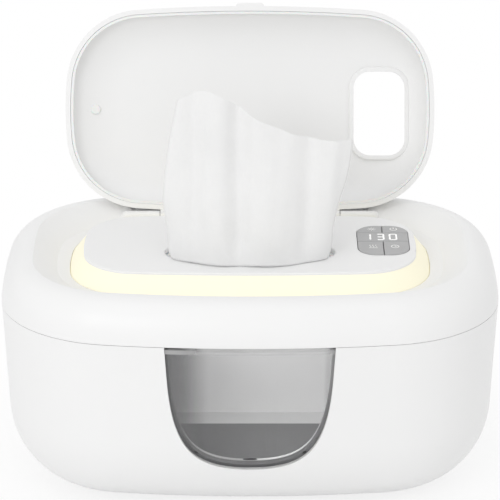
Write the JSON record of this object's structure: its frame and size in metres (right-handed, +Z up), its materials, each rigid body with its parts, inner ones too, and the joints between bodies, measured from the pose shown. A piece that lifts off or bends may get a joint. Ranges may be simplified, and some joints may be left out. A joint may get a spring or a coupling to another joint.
{
  "type": "baby wipe warmer",
  "caption": "Countertop wipe warmer: heated tank with a window, hinged cover with a light ring, a dispensing mouth and a key panel, and a hinged lid standing open.",
  "frame": {"origin": "centre of the plane that the four feet stand on", "axes": "+X to the object's right seen from the front, +Y to the back, +Z up"},
  "size_m": [0.2402, 0.1792, 0.2074],
  "materials": {
    "white_plastic": "fine satin moulded surface",
    "smoked_window": "clear smoked, polished",
    "dark_rubber": "soft matt",
    "tank_plastic": "fine matt",
    "clear_silicone": "translucent matt silicone",
    "aluminium_plate": "rolled sheet",
    "orange_film": "polyimide film",
    "grey_foam": "closed-cell foam",
    "steel": "zinc plated",
    "green_board": "solder mask",
    "black_plastic": "matt moulded",
    "light_diffuser": "milky diffuser, lit warm white",
    "led_emitter": "yellow phosphor",
    "panel_grey": "fine satin",
    "wipe_cloth": "damp nonwoven",
    "spring_steel": "bright spring strip"
  },
  "bodies": {
    "base": {"lower_shell": "white_plastic", "window_pane": "smoked_window", "window_seal": "dark_rubber", "inner_tank": "tank_plastic", "tank_gasket": "clear_silicone", "heater_plate": "aluminium_plate", "heater_film": "orange_film", "insulation_pad": "grey_foam", "thermostat": "steel", "thermal_fuse": "steel", "power_board": "green_board", "power_parts": "black_plastic", "power_screws": "steel", "power_inlet": "black_plastic", "base_plate": "white_plastic", "feet": "dark_rubber", "floor_screws": "steel", "cover_hinge_pin": "steel"},
    "cover": {"upper_housing": "white_plastic", "light_ring": "light_diffuser", "led_board": "green_board", "leds": "led_emitter", "platform_plate": "white_plastic", "mouth_grommet": "clear_silicone", "panel_frame": "black_plastic", "display_lens": "panel_grey", "display_module": "black_plastic", "control_board": "green_board", "tact_switches": "black_plastic", "board_screws": "steel", "cover_liner": "white_plastic", "cover_screws": "steel", "platform_screws": "steel", "lid_hinge_pins": "steel", "wipe_sheet": "wipe_cloth"},
    "lid": {"lid_shell": "white_plastic", "lid_seal": "clear_silicone", "lid_bumper": "clear_silicone"},
    "front_left_key": {"front_left_key": "panel_grey"},
    "front_right_key": {"front_right_key": "panel_grey"},
    "rear_left_key": {"rear_left_key": "panel_grey"},
    "rear_right_key": {"rear_right_key": "panel_grey"},
    "release_left": {"release_button_left": "white_plastic", "release_spring_left": "spring_steel"},
    "release_right": {"release_button_right": "white_plastic", "release_spring_right": "spring_steel"}
  },
  "joints": [
    {"name": "cover_hinge", "type": "hinge", "parent": "base", "child": "cover", "pos_m": [0, 0.0835, 0.092], "axis": [-1, 0, 0], "range_deg": [0, 75]},
    {"name": "lid_hinge", "type": "hinge", "parent": "cover", "child": "lid", "pos_m": [0, 0.05365, 0.1068], "axis": [1, 0, 0], "range_deg": [0, 110], "deforming": ["wipe_sheet"]},
    {"name": "front_left_press", "type": "slide", "parent": "cover", "child": "front_left_key", "axis": [0, 0, -1], "range_m": [0, 0.0007], "stiffness_N_per_m": 400},
    {"name": "front_right_press", "type": "slide", "parent": "cover", "child": "front_right_key", "axis": [0, 0, -1], "range_m": [0, 0.0007], "stiffness_N_per_m": 400},
    {"name": "rear_left_press", "type": "slide", "parent": "cover", "child": "rear_left_key", "axis": [0, 0, -1], "range_m": [0, 0.0007], "stiffness_N_per_m": 400},
    {"name": "rear_right_press", "type": "slide", "parent": "cover", "child": "rear_right_key", "axis": [0, 0, -1], "range_m": [0, 0.0007], "stiffness_N_per_m": 400},
    {"name": "release_left_press", "type": "slide", "parent": "base", "child": "release_left", "axis": [1, 0, 0], "range_m": [0, 0.0015], "stiffness_N_per_m": 600},
    {"name": "release_right_press", "type": "slide", "parent": "base", "child": "release_right", "axis": [-1, 0, 0], "range_m": [0, 0.0015], "stiffness_N_per_m": 600}
  ]
}
